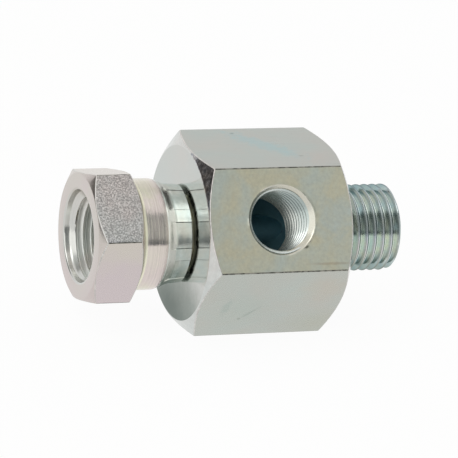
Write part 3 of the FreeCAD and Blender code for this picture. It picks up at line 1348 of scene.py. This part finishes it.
ZINC_FINISHES: dict[Surface, ZincFinish] = {
    Surface.DRAWN_FLAT: ZincFinish(
        "drawn_flat_zinc", (0.475, 0.50, 0.465), 0.30, clouding=0.3, mottling=0.07,
        fineness=1.6, stretch=(0.12, 2.0, 2.0), grain_height=0.001, stains_and_painted_light=(
            StainAndPaintedLight((-10.4, 1.0, 13.5), (9.5, 2.4, 2.0), (0.87, 1.02, 1.08), turn=-50.0,
                  ragged=0.9),
            StainAndPaintedLight((-3.5, -4.5, 13.5), (6.0, 5.0, 2.0), (1.04, 0.98, 0.97)),
            StainAndPaintedLight((-13.8, 5.8, 13.5), (0.5, 0.4, 0.5), (0.72, 0.72, 0.70)),
            StainAndPaintedLight((-6.1, -3.5, 13.5), (0.6, 0.4, 0.5), (0.75, 0.75, 0.73)),
        )),
    # The flat below the port's flat: a lighter copy of the drawn flats' zinc, painted light. Its
    # first three patches are scuffs and small marks; its last three, broad and soft, darken it a
    # little in the middle and towards its bottom and lighten it near its upper edge.
    Surface.HANDLED_FLAT: ZincFinish(
        "scuffed_painted_light_flat_zinc", (0.51, 0.535, 0.495), 0.28, cloud_size=0.08, mottling=0.012,
        warm=(0.94, 0.86, 0.84), cool=(0.86, 0.93, 0.95), fineness=0.8, contrast=0.2,
        grain_height=0.0, stains_and_painted_light=(
            StainAndPaintedLight((-18.4, -11.4, -7.5), (1.0, 1.8, 2.6), (0.91, 0.94, 0.94), ragged=1.2),
            StainAndPaintedLight((-14.1, -10.6, -8.8), (2.0, 0.22, 4.0), (0.84, 0.86, 0.85), turn=-29.0),
            StainAndPaintedLight((-15.5, -10.0, -10.0), (0.5, 0.4, 0.4), (0.66, 0.68, 0.66), ragged=0.8),
            StainAndPaintedLight((-16.0, -11.0, -8.0), (6.0, 5.0, 6.0), (0.96, 0.99, 0.98), ragged=0.4,
                  soft=1.0),
            StainAndPaintedLight((-2.5, -9.0, -11.5), (8.0, 5.0, 5.0), (0.97, 0.955, 0.91), ragged=0.3,
                  soft=1.0),
            StainAndPaintedLight((-4.0, -13.5, -4.0), (6.0, 5.0, 4.0), (1.03, 0.98, 0.95)),
        )),
    Surface.PORT_FLAT: ZincFinish(
        "milled_port_flat_zinc", (0.75, 0.75, 0.65), 0.42, clouding=0.6, cloud_size=0.2,
        warm=(1.0, 0.92, 0.74), cool=(0.84, 0.94, 1.0), mottling=0.14, fineness=2.0,
        grain_height=0.008, stains_and_painted_light=(
            StainAndPaintedLight((-2.8, -11.5, 7.2), (4.0, 5.0, 4.0), (0.95, 1.0, 1.08)),
            StainAndPaintedLight((-3.9, -15.05, 0.95), (5.0, 0.3, 0.3), (0.86, 0.80, 0.77), ragged=0.3),
            StainAndPaintedLight((-7.9, -13.75, 3.2), (0.7, 0.35, 0.35), (0.30, 0.30, 0.28), turn=20.0),
        )),
    Surface.TURNED_FACE: ZincFinish(
        "turned_end_face_zinc", (0.565, 0.58, 0.55), 0.09, clouding=0.25, cloud_size=0.07,
        mottling=0.03, grain_height=0.0008, ring_fineness=5.0, ring_height=0.0012,
        rings_on_face=True, roughness_spread=0.03, stains_and_painted_light=(
            # Both patches are painted shade, darkening the polished face towards its bottom.
            StainAndPaintedLight((-22.8, -2.0, -11.5), (3.0, 17.0, 10.5), (0.44, 0.49, 0.46), ragged=0.12,
                  soft=0.6),
            StainAndPaintedLight((-22.8, 0.0, -12.0), (3.0, 13.0, 6.4), (0.34, 0.42, 0.39), ragged=0.15,
                  soft=1.0),
        )),
    Surface.CHAMFER: ZincFinish(
        "turned_chamfer_zinc", (0.64, 0.655, 0.63), 0.14, clouding=0.25, mottling=0.08,
        fineness=1.4, contrast=0.2, grain_height=0.002),
    # Painted shade: the left chamfer beside the port's upper corner is a darker, more mottled copy
    # of the chamfer's zinc.
    Surface.DULL_CHAMFER: ZincFinish(
        "dull_shaded_chamfer_zinc", (0.60, 0.61, 0.62), 0.17, cloud_size=0.5, warm=(0.95, 0.78, 0.66),
        cool=(0.62, 0.68, 0.80), mottling=0.6, fineness=1.8, contrast=0.16),
    # The broken corners are coloured dark, a thin dark line along each corner of the bars.
    Surface.CORNER: ZincFinish(
        "dark_corner_zinc", (0.235, 0.23, 0.20), 0.35, clouding=0.1, mottling=0.7,
        fineness=1.3, contrast=0.1),
    # The crests and flanks are a darker copy of the roots' zinc, painted shade that dims their
    # highlights. The lean makes the stud's hue cooler at its top and warmer below, a painted
    # reflection.
    Surface.STUD: ZincFinish(
        "threaded_stud_zinc", (0.53, 0.54, 0.54), 0.20, clouding=0.6, cloud_size=0.25,
        warm=(0.93, 0.93, 0.78), cool=(0.70, 0.84, 0.88), lean=(0.0, 0.0, 0.05),
        mottling=0.08, grain_height=0.002, edge=(0.45, 0.50, 0.50), stains_and_painted_light=stud_painted_light(
            (1.24, 1.18, 1.28), (0.62, 0.67, 0.67), (0.60, 0.68, 0.70), (0.76, 0.76, 0.75))),
    Surface.STUD_ROOT: ZincFinish(
        "thread_root_zinc", (0.69, 0.73, 0.73), 0.16, clouding=0.6, cloud_size=0.4,
        warm=(0.95, 0.95, 0.80), cool=(0.72, 0.86, 0.88), mottling=0.1,
        grain_height=0.002, edge=(0.45, 0.50, 0.50), stains_and_painted_light=(
            # This first patch is painted shade, darkening the roots next to the block's right
            # face.
            StainAndPaintedLight((0.6, 0.0, 0.0), (3.2, 20.0, 20.0), (0.50, 0.46, 0.37), ragged=0.05, soft=0.5),
            *stud_painted_light((1.12, 1.12, 1.04), (0.62, 0.68, 0.67), (0.60, 0.70, 0.72),
                         (0.76, 0.76, 0.75)),
        )),
    Surface.PORT: ZincFinish(
        "gauge_port_zinc", (0.70, 0.73, 0.71), 0.22, clouding=0.35, mottling=0.06,
        warm=(0.95, 0.95, 0.88), cool=(0.80, 0.88, 0.90), grain_height=0.001, metallic=0.8,
        # The patch is painted shade, darkening the port's upper wall.
        stains_and_painted_light=(StainAndPaintedLight((-8.2, -7.0, 8.0), (6.2, 12.0, 5.4), (0.58, 0.64, 0.64), ragged=0.15,
                      soft=0.9),)),
    Surface.PORT_MOUTH: ZincFinish(
        "port_countersink_zinc", (0.60, 0.59, 0.53), 0.24, clouding=0.35, mottling=0.06,
        warm=(1.0, 0.94, 0.80), cool=(0.90, 0.95, 0.95), grain_height=0.002),
    # The drill's cone and the run are painted dark and teal, painted shade deep inside the port
    # and the run.
    Surface.BORE: ZincFinish(
        "bore_painted_shade", (0.13, 0.27, 0.32), 0.8, clouding=0.2, mottling=0.1),
    Surface.RUN: ZincFinish(
        "run_painted_shade", (0.26, 0.46, 0.52), 0.6, clouding=0.2, mottling=0.1),
    Surface.NUT_FACE: ZincFinish(
        "nut_face_zinc", (0.605, 0.56, 0.54), 0.24, clouding=0.4, mottling=0.03,
        warm=(0.94, 0.84, 0.86), cool=(0.90, 0.92, 0.82), lean=(0.0, 0.0, 0.01),
        ring_fineness=3.0, ring_height=0.001, rings_on_face=True, grain_height=0.0008),
    Surface.NUT_FLAT: ZincFinish(
        "nut_flat_zinc", (0.63, 0.59, 0.575), 0.26, mottling=0.012, warm=(0.93, 0.83, 0.90),
        cool=(0.96, 0.95, 0.82), lean=(0.0, 0.0, 0.02), grain_height=0.0),
    Surface.SCALED_FLAT: ZincFinish(
        "rolled_scale_zinc", (0.57, 0.55, 0.53), 0.10, clouding=0.3, mottling=0.4,
        fineness=4.0, grain_height=0.12, contrast=0.10, stains_and_painted_light=(
            StainAndPaintedLight((-37.4, -10.4, 2.0), (2.6, 2.0, 2.6), (1.06, 1.05, 1.13), ragged=0.6),
        )),
    Surface.COLLAR: ZincFinish(
        "turned_collar_zinc", (0.72, 0.67, 0.64), 0.07, mottling=0.05,
        warm=(0.92, 0.80, 0.84), cool=(0.93, 0.93, 0.80), cloud_size=0.16,
        ring_fineness=7.0, ring_height=0.014, ring_shade=0.14, stains_and_painted_light=(
            # The two patches are painted reflection: they tint the collar's top and its lower
            # front yellow-green.
            StainAndPaintedLight((-29.6, -4.5, -7.0), (3.0, 6.0, 3.2), (0.99, 1.02, 0.90)),
            StainAndPaintedLight((-29.6, 0.0, 8.3), (3.0, 7.0, 2.6), (0.98, 1.02, 0.92)),
        )),
    Surface.SKIRT: ZincFinish(
        "crimped_skirt_zinc", (0.84, 0.87, 0.84), 0.22, mottling=0.10, cloud_size=0.3,
        warm=(0.98, 0.93, 0.86), cool=(0.78, 0.92, 0.94), grain_height=0.008, fineness=1.5),
    # The bend's colour is near white, a painted highlight across the bend.
    Surface.BEND: ZincFinish(
        "drawn_in_bend_zinc", (0.94, 0.94, 0.91), 0.14, clouding=0.25, mottling=0.06,
        warm=(0.98, 0.93, 0.90), cool=(0.86, 0.95, 0.94), cloud_size=0.3, ring_height=0.016,
        ring_shade=0.16),
    # Painted shade: the faces along each die's bitten edge are coloured dark, over the real step
    # there.
    Surface.DIE_MARK: ZincFinish(
        "die_edge_painted_shade_zinc", (0.38, 0.39, 0.37), 0.40, clouding=0.1, mottling=0.4,
        fineness=1.5, contrast=0.12),
    Surface.NUT_THREAD: ZincFinish(
        "nut_thread_zinc", (0.80, 0.80, 0.76), 0.34, clouding=0.3, mottling=0.03,
        grain_height=0.001, metallic=0.6),
    Surface.NUT_MOUTH: ZincFinish(
        "nut_mouth_zinc", (0.62, 0.615, 0.59), 0.20, clouding=0.4, mottling=0.03,
        warm=(0.98, 0.94, 0.90), cool=(0.88, 0.94, 0.94), grain_height=0.001,
        ring_fineness=6.0, ring_shade=0.06, stains_and_painted_light=(
            # The patch is painted shade, darkening the upper side of the mouth's cone.
            StainAndPaintedLight((-38.3, 1.0, 6.0), (2.0, 8.0, 5.5), (0.86, 0.80, 0.75), ragged=0.2),
        )),
    Surface.ROOT: ZincFinish(
        "turned_root_zinc", (0.88, 0.85, 0.68), 0.30, clouding=0.2, mottling=0.08,
        ring_fineness=5.0, ring_height=0.002),
    # The arcs of the broken edges are lighter and rougher than the flats, partly a painted
    # highlight along them.
    Surface.ARC_EDGE: ZincFinish(
        "broken_edge_zinc", (0.66, 0.64, 0.61), 0.38, clouding=0.2, mottling=0.2,
        fineness=1.5, contrast=0.12),
}


def rubber_material(effects: Effects) -> bpy.types.Material:
    """Make the O-ring's black nitrile rubber.

    Args:
        effects: The shared shader groups.

    Returns:
        The material.
    """
    made, nodes = blank_material("nitrile_rubber_black")
    grain = nodes.node("Group", {"Fineness": 6.0, "Contrast": 0.25},
                       node_tree=effects.grain).outputs
    shader = nodes.node("BsdfPrincipled", {
        "Base Color": nodes.blend(grain["Mask"], (0.012, 0.012, 0.013, 1.0),
                                  (0.030, 0.030, 0.031, 1.0)),
        "Roughness": nodes.spread(grain["Mask"], start=0.42, end=0.58),
        "Normal": nodes.bump(grain["Height"], 0.01),
    })
    nodes.node("OutputMaterial", {"Surface": shader.outputs[0]})
    return made


@dataclass(frozen=True)
class Studio:
    """The pale floor, the soft studio light and the camera."""

    floor: float = -13.5
    floor_half: float = 1500.0
    floor_gap: float = 0.02
    camera_at: Triple = (-208.39, -459.19, 203.61)
    right: Triple = (0.93257, -0.34143, 0.11726)
    up: Triple = (0.02888, 0.39435, 0.91851)
    back: Triple = (-0.35985, -0.85318, 0.37761)
    lens: float = 281.32
    sensor: float = 36.0
    lamp_at: Triple = (-420.0, -170.0, 660.0)
    lamp_width: float = 450.0
    lamp_height: float = 400.0
    lamp_watts: float = 0.68
    # The room's colours by height, from 0 straight down to 1 straight up.
    room: tuple[tuple[float, Triple], ...] = (
        (0.0, (1.0, 1.0, 0.98)), (0.465, (1.0, 1.0, 0.98)), (0.495, (0.08, 0.09, 0.10)),
        (0.56, (0.09, 0.11, 0.12)), (0.63, (0.66, 0.68, 0.67)), (0.90, (0.76, 0.78, 0.76)),
        (0.945, (1.0, 1.0, 0.99)), (1.0, (1.0, 1.0, 0.98)),
    )

    def camera(self) -> None:
        """Set up the camera that the photograph was worked out to have."""
        data = bpy.data.cameras.new("camera")
        data.lens = self.lens
        data.sensor_width = self.sensor
        data.clip_start, data.clip_end = 0.01, 10.0
        camera = placed("camera", data)
        turned = Matrix((self.right, self.up, self.back)).transposed().to_4x4()
        camera.matrix_world = Matrix.Translation(Vector(self.camera_at) * METRES) @ turned
        bpy.context.scene.camera = camera

    @staticmethod
    def in_view(nodes: Shading, mirrored: object) -> bpy.types.NodeSocket:
        """Tell the rays that show the backdrop itself: the camera's own, and some mirrored ones.

        Args:
            nodes: Tree of the floor's material or of the world.
            mirrored: How much of it the glossy rays see, from 0 to 1.

        Returns:
            The socket with the share of the backdrop.
        """
        path = nodes.node("LightPath").outputs
        direct = nodes.math("MAXIMUM", path["Is Camera Ray"], path["Is Transmission Ray"])
        glossy = nodes.math("MULTIPLY", path["Is Glossy Ray"], mirrored)
        return nodes.math("MAXIMUM", direct, glossy)

    def floor_plane(self) -> None:
        """Lay the pale floor, which is white to the camera but keeps a soft shadow."""
        half = self.floor_half * METRES
        z = (self.floor - self.floor_gap) * METRES
        mesh = bpy.data.meshes.new("floor")
        mesh.from_pydata([(-half, -half, z), (half, -half, z), (half, half, z), (-half, half, z)],
                         [], [(0, 1, 2, 3)])
        floor = placed("floor", mesh)
        material, nodes = blank_material("pale_floor")
        paper = nodes.node("BsdfDiffuse", {"Color": (0.86, 0.86, 0.84, 1.0)})
        white = nodes.node("Emission", {"Color": WHITE, "Strength": 1.0})
        seen = nodes.math("MULTIPLY", self.in_view(nodes, 1.0), 0.95)
        both = nodes.node("MixShader", {0: seen, 1: paper.outputs[0], 2: white.outputs[0]})
        nodes.node("OutputMaterial", {"Surface": both.outputs[0]})
        mesh.materials.append(material)

    def world(self) -> None:
        """Light the part from a bright ceiling and a pale backdrop, with a dim room in front."""
        world = bpy.data.worlds.new("studio")
        world.use_nodes = True
        world.node_tree.nodes.clear()
        nodes = Shading(world.node_tree)
        toward = nodes.node("TexCoord").outputs["Generated"]
        way = nodes.node("SeparateXYZ", {0: toward}).outputs
        level = nodes.node("CombineXYZ", {0: way[0], 1: way[1]}).outputs[0]
        compass = nodes.vector("NORMALIZE", level)[0]
        bearing = nodes.node("SeparateXYZ", {0: compass}).outputs
        colour = self.ramp(nodes, way[2])
        front = nodes.spread(bearing[1], 0.0, -0.1)
        # Dim patches in front: where each one fades in and out, across and up, and its colour.
        for across, height, tint in (
            ((-0.20, -0.10, 0.33, 0.27), (-0.03, 0.01, 0.92, 0.88), (0.10, 0.12, 0.13, 1.0)),
            ((0.52, 0.62, 1.20, 1.15), (-0.03, 0.02, 0.87, 0.81), (0.11, 0.135, 0.145, 1.0)),
        ):
            part = front
            for socket, (low, full, lower, high) in ((bearing[0], across), (way[2], height)):
                both = nodes.math("MULTIPLY", nodes.spread(socket, low, full),
                                  nodes.spread(socket, lower, high))
                part = nodes.math("MULTIPLY", part, both)
            colour = nodes.blend(part, colour, tint)
        above = nodes.spread(way[2], -0.03, 0.01)
        # Round zones: a pale one on the right, a dim one behind left and a window in front left.
        for direction, low, high, limit, tint in (
            ((1.0, 0.0, 0.0), 0.55, 0.62, above, (1.0, 1.0, 0.98, 1.0)),
            ((-0.80, 0.57, 0.16), 0.88, 0.95, above, (0.12, 0.115, 0.11, 1.0)),
            ((-0.80, -0.45, 0.40), 0.79, 0.91, 1.0, (1.4, 1.4, 1.37, 1.0)),
        ):
            facing = nodes.vector("DOT_PRODUCT", toward, direction)["Value"]
            near = nodes.spread(facing, low, high, smooth=True)
            colour = nodes.blend(nodes.math("MULTIPLY", near, limit), colour, tint)
        sides = nodes.math("MULTIPLY", nodes.spread(bearing[0], -0.72, -0.56, smooth=True),
                           nodes.spread(bearing[0], 0.56, 0.42, smooth=True))
        mirrored = nodes.math("MULTIPLY", sides, nodes.spread(bearing[1], 0.0, 0.2))
        seen = nodes.blend(self.in_view(nodes, mirrored), colour, WHITE)
        light = nodes.node("Background", {"Color": seen, "Strength": 1.0})
        nodes.node("OutputWorld", {"Surface": light.outputs[0]})
        bpy.context.scene.world = world

    def ramp(self, nodes: Shading, height: bpy.types.NodeSocket) -> bpy.types.NodeSocket:
        """Blend the room's colours from straight down, at -1, to straight up, at 1.

        Args:
            nodes: The world's tree.
            height: Socket with a direction's height.

        Returns:
            The socket with the colour.
        """
        ramp = nodes.node("ValToRGB", {0: nodes.spread(height, -1.0)})
        elements = ramp.color_ramp.elements
        while len(elements) < len(self.room):
            elements.new(0.5)
        for element, (position, colour) in zip(elements, self.room):
            element.position = position
            element.color = (*colour, 1.0)
        return ramp.outputs[0]

    def lamp(self) -> None:
        """Hang one soft lamp high on the left, a little in front."""
        data = bpy.data.lights.new("soft_lamp", "AREA")
        data.shape = "RECTANGLE"
        data.size, data.size_y = self.lamp_width * METRES, self.lamp_height * METRES
        data.energy = self.lamp_watts
        lamp = placed("soft_lamp", data)
        lamp.location = Vector(self.lamp_at) * METRES
        lamp.rotation_euler = (-lamp.location).to_track_quat("-Z", "Y").to_euler()

    def build(self) -> None:
        """Set up the camera, floor and light."""
        self.camera()
        self.floor_plane()
        self.world()
        self.lamp()


def main() -> None:
    """Build the studio and every piece."""
    logging.basicConfig(level=logging.INFO, format="%(name)s: %(message)s", stream=sys.stdout)
    scene = bpy.context.scene
    scene.view_settings.view_transform = "Standard"
    Studio().build()
    effects = Effects()
    finishes = [ZINC_FINISHES[surface].material(effects) for surface in Surface]
    for piece in (
        TurnedBody(finishes).build(), SwivelNut(finishes).build(),
        NoseRing(rubber_material(effects)).build(),
    ):
        LOG.info("made %s", piece.name)


if __name__ == "__main__":
    main()
